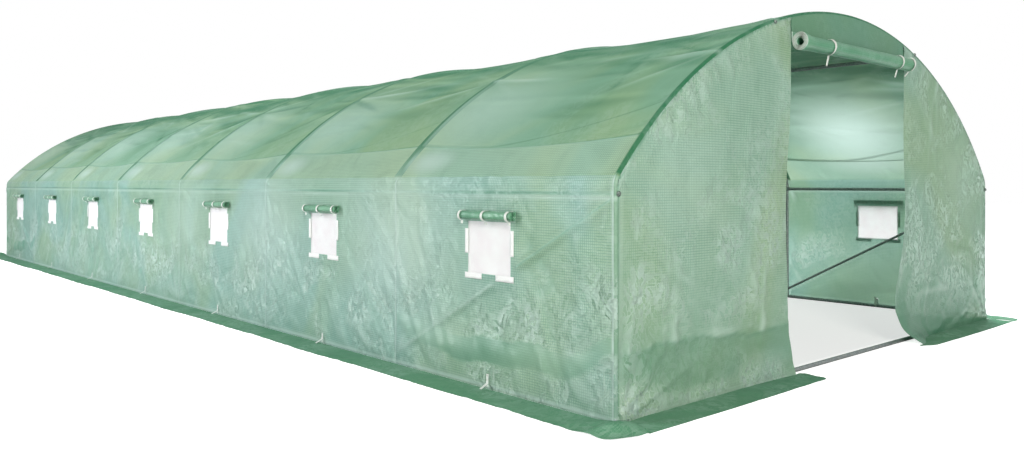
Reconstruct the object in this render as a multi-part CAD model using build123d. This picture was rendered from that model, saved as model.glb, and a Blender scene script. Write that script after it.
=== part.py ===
"""Polytunnel greenhouse: a plug-together frame of steel tube under a sewn cover of woven film.

+Y runs along the tunnel, +X across it and +Z up, and the origin is the middle of the ground plan.
The front end faces -Y, and the back end is its mirror image. Sizes are in mm. The tubes are drawn
as bars that are bored only where another tube plugs in.
"""

from math import acos, atan2, cos, degrees, radians, sin, sqrt
import os

from build123d import *

# Driving dimensions -------------------------------------------------------------------------

TUNNEL_WIDTH = 4000.0  # over the outside of the legs
TUNNEL_HEIGHT = 2000.0  # to the outside of the arches
TUNNEL_LENGTH = 12000.0  # over the outside of the end hoops
BAY_COUNT = 7
SHOULDER_HEIGHT = 1030.0  # where the line of a leg meets the line of its arch

TUBE_DIAMETER = 25.0
TUBE_WALL = 1.2
BEND_RADIUS = 90.0  # of the legs' shoulder bend, on the tube's centre line
JOINT_GAP = 0.3  # round a plug in its socket, and between pieces that butt or lap
PLUG_LENGTH = 45.0
SOCKET_SLACK = 5.0  # past the plug's end
STUB_HEIGHT = 70.0  # of the leg stubs, above the ground rail's top
RAIL_JOINT_OFFSET = 120.0  # of the ground rails' joints, behind a hoop

LEG_TOP_RISE = 110.0  # of a leg's top past the shoulder, along the arch
ROOF_PURLIN_ANGLE = 18.5  # from the crown
CROWN_JOINT_ANGLE = 16.0  # from the crown, where the arch tubes plug together
SHOULDER_PURLIN_HEIGHT = 970.0
TAB_THICKNESS = 2.4  # of a tube end pressed flat
TAB_REACH = 12.0  # past the bolt
TAB_NECK = 22.0  # from the bolt to where the flat starts to open out
TAB_FLARE = 34.0  # over which the flat opens out to the round tube
PURLIN_TAB_WIDTH = 34.0
BRACE_DIAMETER = 19.0
BRACE_TAB_WIDTH = 24.0
BRACE_FOOT_HEIGHT = 75.0
BRACE_HEAD_DROP = 42.0  # of the brace's top bolt below the purlin's
BOLT_HOLE_DIAMETER = 6.6

FILM_THICKNESS = 2.0
FILM_GAP = 0.3
SIDE_SEAM_ANGLE = 45.7  # from the crown, where the wall film is sewn to the roof film
ROOF_SEAM_ANGLE = 15.3  # from the crown, where the three widths of the roof film are sewn
GROUND_ANGLE = 135.0  # from the crown, past the foot of the wall

DOOR_WIDTH = 1300.0
DOOR_HEAD_DROP = 200.0  # of the doorway's head below the top of the arch
DOOR_ROLL_DIAMETER = 85.0
DOOR_ROLL_DROP = 30.0  # of the roll's centre below the doorway's head
DOOR_TIE_PLACES = (-0.27, 0.36, 0.48)  # shares of the roll's length, from its middle

WINDOW_WIDTH = 340.0
WINDOW_HEIGHT = 260.0
WINDOW_SILL = 565.0
NET_MARGIN = 18.0  # sewn to the film, all round
NET_THICKNESS = 1.5
FLAP_ROLL_DIAMETER = 44.0
FLAP_ROLL_LENGTH = 430.0
FLAP_ROLL_RISE = 30.0  # of the roll's centre above the window's head
FLAP_TIE_PLACES = (-0.44, 0.0, 0.44)  # shares of the roll's length, from its middle
ROLL_HEM = 14.0  # of a rolled sheet, sewn on above the roll
TIE_WIDTH = 18.0
TIE_THICKNESS = 1.2
STRIP_THICKNESS = 1.2
SIDE_STRIP_WIDTH = 28.0
SIDE_STRIP_HEIGHT = 125.0
SIDE_STRIP_DROP = 100.0  # of its middle below the window's head
SILL_STRIP_WIDTH = 140.0
SILL_STRIP_HEIGHT = 30.0
SILL_STRIP_DROP = 18.0  # of its middle below the window's sill
SILL_STRIP_SPACING = 255.0

SKIRT_WIDTH = 200.0
SKIRT_CORNER_RADIUS = 110.0
SKIRT_END_RADIUS = 30.0
SKIRT_DOOR_REACH = 50.0  # of an end skirt's tip into the doorway

# What follows from them ---------------------------------------------------------------------

tube_radius = TUBE_DIAMETER / 2
bore_radius = tube_radius - TUBE_WALL
plug_radius = bore_radius - JOINT_GAP
socket_depth = PLUG_LENGTH + SOCKET_SLACK

leg_x = TUNNEL_WIDTH / 2 - tube_radius
crown_z = TUNNEL_HEIGHT - tube_radius
arch_rise = crown_z - SHOULDER_HEIGHT
arch_radius = (leg_x**2 + arch_rise**2) / (2 * arch_rise)
arch_z = crown_z - arch_radius
arch_axis = Axis((0, 0, arch_z), (0, 1, 0))
shoulder_angle = degrees(acos((SHOULDER_HEIGHT - arch_z) / arch_radius))

bend_x = leg_x - BEND_RADIUS
bend_z = arch_z + sqrt((arch_radius - BEND_RADIUS) ** 2 - bend_x**2)
bend_top_angle = degrees(atan2(bend_x, bend_z - arch_z))
leg_top_angle = shoulder_angle - degrees(LEG_TOP_RISE / arch_radius)

rail_z = tube_radius
first_hoop_y = -TUNNEL_LENGTH / 2 + tube_radius
bay_length = -2 * first_hoop_y / BAY_COUNT
hoop_ys = [first_hoop_y + bay_length * number for number in range(BAY_COUNT + 1)]
bay_middle_ys = [y + bay_length / 2 for y in hoop_ys[:-1]]

film_in = tube_radius + FILM_GAP  # from a tube's centre line to the film's two faces
film_out = film_in + FILM_THICKNESS
wall_x = leg_x + film_out
end_in_y = TUNNEL_LENGTH / 2 + FILM_GAP
end_out_y = end_in_y + FILM_THICKNESS
door_head = TUNNEL_HEIGHT - DOOR_HEAD_DROP
window_head = WINDOW_SILL + WINDOW_HEIGHT

os.makedirs("parts", exist_ok=True)


def save(name, solids):
    """Writes one node from a list of like solids that don't touch."""
    shape = Compound(children=solids) if len(solids) > 1 else solids[0]
    shape.label = name
    export_step(shape, f"parts/{name}.step")


def save_sides(name, right_solids):
    """Writes a node of the right side and its mirror image on the left."""
    save(f"right_{name}", right_solids)
    save(f"left_{name}", [solid.mirror(Plane.YZ) for solid in right_solids])


def save_ends(name, front_solids):
    """Writes a node of the front end and its mirror image at the back."""
    save(f"front_{name}", front_solids)
    save(f"back_{name}", [solid.mirror(Plane.XZ) for solid in front_solids])


# Hoops --------------------------------------------------------------------------------------


def rod(start, end, radius):
    """A straight round bar between the centres of its two ends."""
    axis = Vector(*end) - Vector(*start)
    return extrude(Plane(origin=start, z_dir=axis) * Circle(radius), axis.length)


def arch_rod(y, low_angle, high_angle, radius):
    """A round bar bent to the arch between two angles, which grow from the crown towards +X."""
    bar = revolve(Plane.YZ * Pos(y, crown_z) * Circle(radius), arch_axis, high_angle - low_angle)
    return bar.rotate(arch_axis, low_angle)


def arch_degrees(length):
    """The angle that a length along the arch takes up."""
    return degrees(length / arch_radius)


def socket(y, foot_angle):
    """The bore up a tube's lower end, for the plug that comes up into it."""
    return arch_rod(y, foot_angle - arch_degrees(socket_depth), foot_angle, bore_radius)


def right_leg(y):
    """A leg: bored for its stub, standing on the ground rail, bent in at the top, then a plug."""
    foot = (leg_x, y, TUBE_DIAMETER + JOINT_GAP)
    straight = rod(foot, (leg_x, y, bend_z), tube_radius)
    section = Pos(leg_x, y, bend_z) * Circle(tube_radius)
    bend = revolve(section, Axis((bend_x, y, bend_z), (0, -1, 0)), 90 - bend_top_angle)
    top = arch_rod(y, leg_top_angle, bend_top_angle, tube_radius)
    plug = arch_rod(y, leg_top_angle - arch_degrees(PLUG_LENGTH), leg_top_angle, plug_radius)
    bore = rod(foot, (leg_x, y, TUBE_DIAMETER + STUB_HEIGHT + SOCKET_SLACK), bore_radius)
    return straight + bend + top + plug - bore


def right_haunch(y):
    """The arch tube over a leg: a socket at its foot, and at its top a plug for the crown tube."""
    foot_angle = leg_top_angle - arch_degrees(JOINT_GAP)
    tube = arch_rod(y, CROWN_JOINT_ANGLE, foot_angle, tube_radius)
    plug_angle = CROWN_JOINT_ANGLE - arch_degrees(PLUG_LENGTH)
    return tube + arch_rod(y, plug_angle, CROWN_JOINT_ANGLE, plug_radius) - socket(y, foot_angle)


def crown_tube(y):
    """The arch's middle tube, with a socket at each end."""
    foot_angle = CROWN_JOINT_ANGLE - arch_degrees(JOINT_GAP)
    bore = socket(y, foot_angle)
    tube = arch_rod(y, -foot_angle, foot_angle, tube_radius)
    return tube - bore - bore.mirror(Plane.YZ)


save_sides("legs", [right_leg(y) for y in hoop_ys])
save_sides("arch_tubes", [right_haunch(y) for y in hoop_ys])
save("crown_tubes", [crown_tube(y) for y in hoop_ys])


# Ground frame -------------------------------------------------------------------------------


def right_rail_length(start, end):
    """One length of ground rail, with a stub for each leg on it and a plug at a joint."""
    tube = rod((leg_x, start, rail_z), (leg_x, end, rail_z), tube_radius)
    for y in hoop_ys:
        if start < y < end:
            tube += rod((leg_x, y, rail_z), (leg_x, y, TUBE_DIAMETER + STUB_HEIGHT), plug_radius)
        if start < y < end and abs(y) == -first_hoop_y:
            inner_x = leg_x - tube_radius - PLUG_LENGTH
            tube += rod((leg_x, y, rail_z), (inner_x, y, rail_z), plug_radius)
    if start > -TUNNEL_LENGTH / 2:
        tube -= rod((leg_x, start, rail_z), (leg_x, start + socket_depth, rail_z), bore_radius)
    if end < TUNNEL_LENGTH / 2:
        tube += rod((leg_x, end, rail_z), (leg_x, end + PLUG_LENGTH, rail_z), plug_radius)
    return tube


def sill_tube():
    """The tube across the front end, coped round the rails and bored for their stubs."""
    y = first_hoop_y
    tube = rod((-leg_x, y, rail_z), (leg_x, y, rail_z), tube_radius)
    for side in (-1, 1):
        x = side * leg_x
        cope_radius = tube_radius + JOINT_GAP
        tube -= rod((x, y - TUBE_DIAMETER, rail_z), (x, y + TUBE_DIAMETER, rail_z), cope_radius)
        tube -= rod((x, y, rail_z), (x, y, rail_z + TUBE_DIAMETER), cope_radius)
        bore_end = x - side * (tube_radius + socket_depth)
        tube -= rod((x, y, rail_z), (bore_end, y, rail_z), bore_radius)
    return tube


rail_joints = [y + RAIL_JOINT_OFFSET for y in hoop_ys[1:-1]]
rail_starts = [-TUNNEL_LENGTH / 2, *rail_joints]
rail_ends = [*(y - JOINT_GAP for y in rail_joints), TUNNEL_LENGTH / 2]
save_sides("ground_rail", [right_rail_length(*ends) for ends in zip(rail_starts, rail_ends)])
save_ends("sill", [sill_tube()])


# Purlins and braces -------------------------------------------------------------------------


def pressed_end(radius, tab_width, tab_top, axis_z):
    """A tube's end along +Y, opening from a flat tab round the bolt at the origin to the tube."""
    neck = Plane((0, TAB_NECK, tab_top - TAB_THICKNESS / 2), x_dir=(1, 0, 0), z_dir=(0, 1, 0))
    mouth = Plane((0, TAB_NECK + TAB_FLARE, axis_z), x_dir=(1, 0, 0), z_dir=(0, 1, 0))
    flare = loft([neck * SlotOverall(tab_width, TAB_THICKNESS), mouth * Circle(radius)])
    tab = Circle(tab_width / 2) + Pos(0, TAB_NECK / 2) * Rectangle(tab_width, TAB_NECK)
    tab &= Pos(0, (TAB_NECK - TAB_REACH) / 2) * Rectangle(tab_width, TAB_NECK + TAB_REACH)
    tab -= Circle(BOLT_HOLE_DIAMETER / 2)
    return flare + extrude(Pos(0, 0, tab_top - TAB_THICKNESS) * tab, TAB_THICKNESS)


def bolted_tube(span, radius, tab_width, far_layer):
    """A tube along +Y with a bolt at each end, held under the XY plane.

    Its near tab lies against that plane. Its far tab does too in layer 0, or in layer 1 it lies
    under the near tab of the next tube.
    """
    axis_z = -JOINT_GAP - TAB_THICKNESS
    far_top = -JOINT_GAP - far_layer * (TAB_THICKNESS + JOINT_GAP)
    body_start = TAB_NECK + TAB_FLARE
    body = rod((0, body_start, axis_z), (0, span - body_start, axis_z), radius)
    near = pressed_end(radius, tab_width, -JOINT_GAP, axis_z)
    far = pressed_end(radius, tab_width, far_top, axis_z)
    return body + near + Pos(0, span) * far.mirror(Plane.XZ)


def purlin_run(x, z, angle):
    """A purlin in one length a bay, along the insides of the hoops at a height."""
    outward = (sin(radians(angle)), 0, cos(radians(angle)))
    across = (cos(radians(angle)), 0, -sin(radians(angle)))
    tube = bolted_tube(bay_length, tube_radius, PURLIN_TAB_WIDTH, 1)
    return [Plane((x, y, z), x_dir=across, z_dir=outward) * tube for y in hoop_ys[:-1]]


def right_braces():
    """The end bays' braces, from the foot of the second leg to the shoulder of the end leg."""
    foot = Vector(leg_x - tube_radius, hoop_ys[1], BRACE_FOOT_HEIGHT)
    head_z = SHOULDER_PURLIN_HEIGHT - BRACE_HEAD_DROP
    along = Vector(leg_x - tube_radius, hoop_ys[0], head_z) - foot
    tube = bolted_tube(along.length, BRACE_DIAMETER / 2, BRACE_TAB_WIDTH, 0)
    front = Plane(foot, x_dir=along.cross(Vector(1, 0, 0)), z_dir=(1, 0, 0)) * tube
    return [front, front.mirror(Plane.XZ)]


roof_purlin_radius = arch_radius - tube_radius
roof_purlin_x = roof_purlin_radius * sin(radians(ROOF_PURLIN_ANGLE))
roof_purlin_z = arch_z + roof_purlin_radius * cos(radians(ROOF_PURLIN_ANGLE))
shoulder_run = purlin_run(leg_x - tube_radius, SHOULDER_PURLIN_HEIGHT, 90)
save_sides("shoulder_purlin", shoulder_run)
save_sides("roof_purlin", purlin_run(roof_purlin_x, roof_purlin_z, ROOF_PURLIN_ANGLE))
save_sides("braces", right_braces())


# Cover --------------------------------------------------------------------------------------


def tunnel_profile(offset):
    """The tunnel's cross-section, at an offset outside the tubes' centre line."""
    across = Rectangle(2 * (leg_x + offset), 2 * (TUNNEL_HEIGHT + offset))
    return Plane.XZ * (Pos(0, arch_z) * Circle(arch_radius + offset) & across)


def above_ground(solid):
    """The part of a sheet that stands on the skirts."""
    size = 2 * TUNNEL_LENGTH
    return solid & Pos(0, 0, FILM_THICKNESS + size / 2) * Box(size, size, size)


def sector(low_angle, high_angle):
    """The wedge between two angles from the crown, seen from the arch's centre."""
    reach = 2 * arch_radius
    angles = (radians(low_angle), radians(high_angle))
    rays = [(reach * sin(angle), arch_z + reach * cos(angle)) for angle in angles]
    wedge = make_face(Polyline((0, arch_z), *rays, close=True))
    return extrude(Plane.XZ * wedge, TUNNEL_LENGTH, both=True)


def front_end_sheets():
    """The sheets left and right of the doorway, and the one over it."""
    flat = extrude(tunnel_profile(tube_radius), FILM_THICKNESS)
    end = above_ground(Pos(0, -end_in_y, 0) * flat)
    size = TUNNEL_WIDTH
    beside = Pos(DOOR_WIDTH / 2 + size / 2, -end_in_y, 0) * Box(size, size, 2 * size)
    over = Pos(0, -end_in_y, door_head + size / 2) * Box(DOOR_WIDTH, size, size)
    return end & beside, end & over


def skirt(width, length, corner_radius, round_corners):
    """A strip on the ground with some corners rounded, picked by their place in the XY plane."""
    strip = Rectangle(width, length)
    picked = [corner for corner in strip.vertices() if round_corners(corner)]
    return extrude(fillet(picked, corner_radius), FILM_THICKNESS)


def window_openings():
    """The blocks that the windows take out of the right wall sheet."""
    middle_z = WINDOW_SILL + WINDOW_HEIGHT / 2
    block = Box(TUBE_DIAMETER, WINDOW_WIDTH, WINDOW_HEIGHT)
    return [Pos(wall_x, y, middle_z) * block for y in bay_middle_ys]


def window_nets():
    """The nets sewn inside the right wall's windows."""
    height = WINDOW_HEIGHT + 2 * NET_MARGIN
    net = Box(NET_THICKNESS, WINDOW_WIDTH + 2 * NET_MARGIN, height)
    x = leg_x + film_in - NET_THICKNESS / 2
    return [Pos(x, y, WINDOW_SILL + WINDOW_HEIGHT / 2) * net for y in bay_middle_ys]


film_ring = tunnel_profile(film_out) - tunnel_profile(film_in)
film_shell = above_ground(extrude(film_ring, end_out_y, both=True))
wall_sheet = film_shell & sector(SIDE_SEAM_ANGLE, GROUND_ANGLE)
for opening in window_openings():
    wall_sheet -= opening
save_sides("wall_sheet", [wall_sheet])
save_sides("roof_sheet", [film_shell & sector(ROOF_SEAM_ANGLE, SIDE_SEAM_ANGLE)])
save("crown_roof_sheet", [film_shell & sector(-ROOF_SEAM_ANGLE, ROOF_SEAM_ANGLE)])
save_sides("window_nets", window_nets())

end_sheet, head_sheet = front_end_sheets()
save_ends("right_sheet", [end_sheet])
save_ends("left_sheet", [end_sheet.mirror(Plane.YZ)])
save_ends("head_sheet", [head_sheet])

side_length = 2 * (end_in_y + SKIRT_WIDTH)
side_skirt = skirt(SKIRT_WIDTH, side_length, SKIRT_CORNER_RADIUS, lambda corner: corner.X > 0)
skirt_x = leg_x + film_in
save_sides("skirt", [Pos(skirt_x + SKIRT_WIDTH / 2, 0) * side_skirt])
tip_x = DOOR_WIDTH / 2 - SKIRT_DOOR_REACH
end_length = skirt_x - tip_x
end_skirt = skirt(end_length, SKIRT_WIDTH, SKIRT_END_RADIUS,
                  lambda corner: corner.X < 0 and corner.Y < 0)
end_skirt = Pos(tip_x + end_length / 2, -end_in_y - SKIRT_WIDTH / 2) * end_skirt
save_ends("skirts", [end_skirt, end_skirt.mirror(Plane.YZ)])


# Rolled-up doors and window flaps -----------------------------------------------------------


roll_standoff = TIE_THICKNESS + 2 * FILM_GAP  # of a roll from the sheet it hangs on


def hung_roll(diameter, length, hem_top):
    """A rolled sheet along X in front of the XZ plane, hung by a hem that lies on that plane."""
    middle_y = roll_standoff + diameter / 2
    roll = rod((-length / 2, middle_y, 0), (length / 2, middle_y, 0), diameter / 2)
    hem = Pos(0, FILM_THICKNESS / 2, hem_top / 2) * Box(length, FILM_THICKNESS, hem_top)
    return roll + hem


def roll_tie(diameter, hem_top):
    """A tape from the top of a roll's hem, down the front of the roll and up behind it."""
    circle = Pos(roll_standoff + diameter / 2, 0) * Circle(diameter / 2 + FILM_GAP)
    hem_front = FILM_THICKNESS + FILM_GAP
    top = Pos(hem_front - FILM_GAP / 2, hem_top - FILM_GAP / 2) * Rectangle(FILM_GAP, FILM_GAP)
    inside = make_face(make_hull([*circle.edges(), *top.edges()]))
    band = offset(inside, TIE_THICKNESS) - inside
    behind = Pos(hem_front - diameter / 2, diameter - FILM_GAP) * Rectangle(diameter, 2 * diameter)
    above = Pos(0, hem_top + diameter / 2) * Rectangle(2 * diameter, diameter)
    return extrude(Plane.YZ * (band - behind - above), TIE_WIDTH / 2, both=True)


def along_roll(solid, places, length):
    """The ties of one roll, at their places along it."""
    return [Pos(place * length, 0, 0) * solid for place in places]


def front_door(solid):
    """A solid of the door roll's own frame, moved to the front end."""
    return Pos(0, -end_out_y, door_head - DOOR_ROLL_DROP) * solid.rotate(Axis.Z, 180)


def right_windows(solids):
    """Solids of a window's own frame, moved to each of the right wall's windows."""
    turned = [solid.rotate(Axis.Z, -90) for solid in solids]
    return [Pos(wall_x, y, window_head) * solid for y in bay_middle_ys for solid in turned]


def window_strips():
    """The hook-and-loop strips beside and under a window, in the window's own frame."""
    side_strip = Box(SIDE_STRIP_WIDTH, STRIP_THICKNESS, SIDE_STRIP_HEIGHT)
    sill_strip = Box(SILL_STRIP_WIDTH, STRIP_THICKNESS, SILL_STRIP_HEIGHT)
    strips = []
    for side in (-1, 1):
        side_x = side * (WINDOW_WIDTH + SIDE_STRIP_WIDTH) / 2
        strips.append(Pos(side_x, STRIP_THICKNESS / 2, -SIDE_STRIP_DROP) * side_strip)
        sill_z = -WINDOW_HEIGHT - SILL_STRIP_DROP
        sill_x = side * SILL_STRIP_SPACING / 2
        strips.append(Pos(sill_x, STRIP_THICKNESS / 2, sill_z) * sill_strip)
    return strips


door_hem_top = DOOR_ROLL_DROP + ROLL_HEM
door_roll = hung_roll(DOOR_ROLL_DIAMETER, DOOR_WIDTH, door_hem_top)
door_tie = roll_tie(DOOR_ROLL_DIAMETER, door_hem_top)
door_ties = along_roll(door_tie, DOOR_TIE_PLACES, DOOR_WIDTH)
save_ends("door_roll", [front_door(door_roll)])
save_ends("door_ties", [front_door(tie) for tie in door_ties])

flap_hem_top = FLAP_ROLL_DIAMETER / 2 + ROLL_HEM
flap_roll = hung_roll(FLAP_ROLL_DIAMETER, FLAP_ROLL_LENGTH, flap_hem_top)
flap_tie = roll_tie(FLAP_ROLL_DIAMETER, flap_hem_top)
flap_ties = along_roll(flap_tie, FLAP_TIE_PLACES, FLAP_ROLL_LENGTH)
raised = Pos(0, 0, FLAP_ROLL_RISE)
save_sides("window_rolls", right_windows([raised * flap_roll]))
save_sides("window_ties", right_windows([raised * tie for tie in flap_ties]))
save_sides("window_strips", right_windows(window_strips()))
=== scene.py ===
"""Polytunnel greenhouse, 12 m long: the looks of its steel frame and its sewn film cover.

Metres throughout, +Y along the tunnel with the front end at -Y, +X across it, +Z up.
"""

import functools

import bpy
import numpy as np
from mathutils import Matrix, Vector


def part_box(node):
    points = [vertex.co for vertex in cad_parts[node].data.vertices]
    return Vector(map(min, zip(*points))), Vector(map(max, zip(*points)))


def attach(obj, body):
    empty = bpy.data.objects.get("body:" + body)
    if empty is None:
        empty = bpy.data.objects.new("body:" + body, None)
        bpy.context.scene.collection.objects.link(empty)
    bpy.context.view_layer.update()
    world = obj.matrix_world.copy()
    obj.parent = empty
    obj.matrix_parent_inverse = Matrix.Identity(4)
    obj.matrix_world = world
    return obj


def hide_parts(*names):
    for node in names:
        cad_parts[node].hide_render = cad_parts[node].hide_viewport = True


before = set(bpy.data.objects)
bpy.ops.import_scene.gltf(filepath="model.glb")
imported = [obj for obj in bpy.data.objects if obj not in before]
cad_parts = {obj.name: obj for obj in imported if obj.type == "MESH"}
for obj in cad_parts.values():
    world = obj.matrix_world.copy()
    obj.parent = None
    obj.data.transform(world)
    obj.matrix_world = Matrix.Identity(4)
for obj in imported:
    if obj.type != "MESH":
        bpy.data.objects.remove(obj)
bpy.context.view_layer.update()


# ---- Steel frame --------------------------------------------------------------------------------
# Thin-walled mild steel tube, rolled and welded, then hot-dip galvanised. The tubes plug into
# each other and are bolted through their flattened ends. The CAD nodes have the right shapes.


def linear(colour):
    """The linear RGBA of an sRGB hex colour: each channel by the sRGB transfer curve."""
    channels = np.array([int(colour[i:i + 2], 16) for i in (1, 3, 5)]) / 255
    curve = np.where(channels <= 0.04045, channels / 12.92, ((channels + 0.055) / 1.055) ** 2.4)
    return (*curve, 1.0)


def new_material(name):
    """A node material with nothing in it."""
    made = bpy.data.materials.new(name)
    made.use_nodes = True
    made.node_tree.nodes.clear()
    return made


def add(made, kind, inputs=None, stops=(), **settings):
    """A node with its settings, its inputs, and the colour stops of a ramp.

    An input is a value, a socket, or a node that gives its first output."""
    node = made.node_tree.nodes.new(kind)
    for name, value in settings.items():
        setattr(node, name, value)
    for socket, value in (inputs or {}).items():
        if isinstance(value, (bpy.types.Node, bpy.types.NodeSocket)):
            source = value.outputs[0] if isinstance(value, bpy.types.Node) else value
            made.node_tree.links.new(source, node.inputs[socket])
        else:
            node.inputs[socket].default_value = value
    for number, (place, colour) in enumerate(stops):
        node.color_ramp.elements[number].position = place
        node.color_ramp.elements[number].color = linear(colour)
    return node


# Hot-dip galvanised steel: dull grey zinc with faint spangle grains about 9 mm across.
galvanised = new_material("galvanised_steel_tube")
place = add(galvanised, "ShaderNodeTexCoord").outputs["Object"]
grains = add(galvanised, "ShaderNodeTexVoronoi", {"Vector": place, "Scale": 1 / 0.009})
clouds = add(galvanised, "ShaderNodeTexNoise", {"Vector": place, "Scale": 14.0, "Detail": 4.0})
zinc = add(galvanised, "ShaderNodeValToRGB", {"Fac": grains.outputs["Color"]},
           [(0.0, "#7E8587"), (1.0, "#A4ABAB")])
dulling = add(galvanised, "ShaderNodeMapRange", {0: clouds, 1: 0.3, 2: 0.7, 3: 0.38, 4: 0.56})
steel = add(galvanised, "ShaderNodeBsdfPrincipled",
            {"Base Color": zinc, "Roughness": dulling, "Metallic": 0.75})
add(galvanised, "ShaderNodeOutputMaterial", {"Surface": steel})

STEEL_NODES = [
    "left_legs", "right_legs", "left_arch_tubes", "right_arch_tubes", "crown_tubes",
    "left_ground_rail", "right_ground_rail", "front_sill", "back_sill",
    "left_shoulder_purlin", "right_shoulder_purlin", "left_roof_purlin", "right_roof_purlin",
    "left_braces", "right_braces",
]
for node in STEEL_NODES:
    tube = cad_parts[node]
    tube.data.materials.clear()
    tube.data.materials.append(galvanised)


# ---- Film over the roof and the walls -----------------------------------------------------------
# Woven polyethylene tape coated both sides with green polyethylene film, about 140 g/m2. The roof
# width and the two wall widths are sewn along the tunnel, pulled over the hoops and laid on the
# purlins, so the film hangs a little slack inside each bay and creases where it is pulled.

SHOULDER = 1.030  # height where the line of a leg meets the line of its arch
BEND = 0.090  # centre-line radius of the bend there
TUBE = 0.0125  # tube radius
FILM = 0.0138  # from a tube's centre line to the film
SEAM_ANGLE = np.radians(45.7)  # from the crown, where the roof and wall widths are sewn
BAYS = 7
SIDES = ((1, "right"), (-1, "left"))
ENDS = ((-1, "front"), (1, "back"))

leg_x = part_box("right_legs")[1].x - TUBE
crown_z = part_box("crown_tubes")[1].z - TUBE
rise = crown_z - SHOULDER
ARCH = (leg_x ** 2 + rise ** 2) / (2 * rise)
arch_z = crown_z - ARCH
bend_x = leg_x - BEND
bend_z = arch_z + np.sqrt((ARCH - BEND) ** 2 - bend_x ** 2)
bend_angle = np.arctan2(bend_x, bend_z - arch_z)
bend_start = bend_angle * (ARCH + FILM)
bend_end = bend_start + (np.pi / 2 - bend_angle) * (BEND + FILM)
ground = bend_end + bend_z - 0.001  # the film's length from the crown to the ground

end_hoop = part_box("right_legs")[1].y - TUBE
bay = 2 * end_hoop / BAYS
hoops = -end_hoop + bay * np.arange(BAYS + 1)
middles = hoops[:-1] + bay / 2
wrap = FILM * np.pi / 2  # of the film round the outside of an end hoop


def section(arc, offset):
    """Place across the tunnel and up: the arch, the shoulder bend, then straight down the leg.

    The arc is the distance along the film from the crown, and the offset is from the tubes."""
    side, along = np.sign(arc), np.abs(arc)
    on_arch = along < bend_start
    turned = bend_angle + (along - bend_start) / (BEND + FILM)
    angle = np.where(on_arch, along / (ARCH + FILM), np.minimum(turned, np.pi / 2))
    radius = np.where(on_arch, ARCH, BEND) + offset
    across = np.where(on_arch, 0, bend_x) + radius * np.sin(angle)
    up = np.where(on_arch, arch_z, bend_z) + radius * np.cos(angle)
    return side * across, up - np.maximum(along - bend_end, 0)


def together(*parts):
    """Arrays broadcast to one shape and stacked as the coordinates of points."""
    return np.stack(np.broadcast_arrays(*parts), axis=-1)


def cover(arc, along, lift):
    """Points on the cover: the section at an offset, swept along the tunnel.

    Past an end hoop's centre line the film turns a quarter circle round the tube."""
    past = np.clip(np.abs(along) - end_hoop, 0, wrap) / FILM
    across, up = section(arc, FILM * np.cos(past) + lift * np.cos(past) ** 2)
    run = np.clip(along, -end_hoop, end_hoop) + np.sign(along) * FILM * np.sin(past)
    return together(across, run, up)


def in_bay(along):
    """How far through its bay a place is, from 0 at one hoop to 1 at the next."""
    return np.clip((along + end_hoop) / bay, 0, BAYS) % 1


def unit(value):
    """A value held between 0 and 1."""
    return np.clip(value, 0, 1)


def near(value, centre, width):
    """A bell curve, 1 at the centre and falling to 1/e at the width."""
    return np.exp(-(((value - centre) / width) ** 2))


def folds(u, v, centres, angles, lengths, widths, heights):
    """Height of a set of soft straight folds: a bell across each fold times a bell along it."""
    total = np.zeros(np.broadcast(u, v).shape)
    for (u0, v0), angle, length, width, height in zip(centres, angles, lengths, widths, heights):
        along = (u - u0) * np.cos(angle) + (v - v0) * np.sin(angle)
        across = (v - v0) * np.cos(angle) - (u - u0) * np.sin(angle)
        total += height * near(along, 0, length) * near(across, 0, width)
    return total


def scattered(u, v, rng, count, low, high, angle, turn, lengths, widths, heights):
    """Folds scattered over a rectangle, turned about a mean angle, raised or pressed in."""
    centres = rng.uniform(low, high, (count, 2))
    angles = np.radians(rng.normal(angle, turn, count))
    return folds(u, v, centres, angles, rng.uniform(*lengths, count), rng.uniform(*widths, count),
                 rng.choice([-1, 1], count) * rng.uniform(*heights, count))


def fan(u, v, rng, centre, count, first, last, lengths, widths, heights):
    """Folds that spread out from one point, between two angles in degrees."""
    angles = np.radians(np.linspace(first, last, count) + rng.uniform(-5, 5, count))
    length = rng.uniform(*lengths, count)
    reach = length[:, None] * np.stack([np.cos(angles), np.sin(angles)], axis=1)
    return folds(u, v, np.asarray(centre) + reach, angles, length, rng.uniform(*widths, count),
                 rng.uniform(*heights, count))


def strips(edges, step):
    """Samples from edge to edge, evenly spaced at about a step between each two of them."""
    parts = [np.linspace(a, b, max(int(round((b - a) / step)), 1) + 1) for a, b in
             zip(edges[:-1], edges[1:])]
    return np.unique(np.concatenate(parts).round(6))


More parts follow.
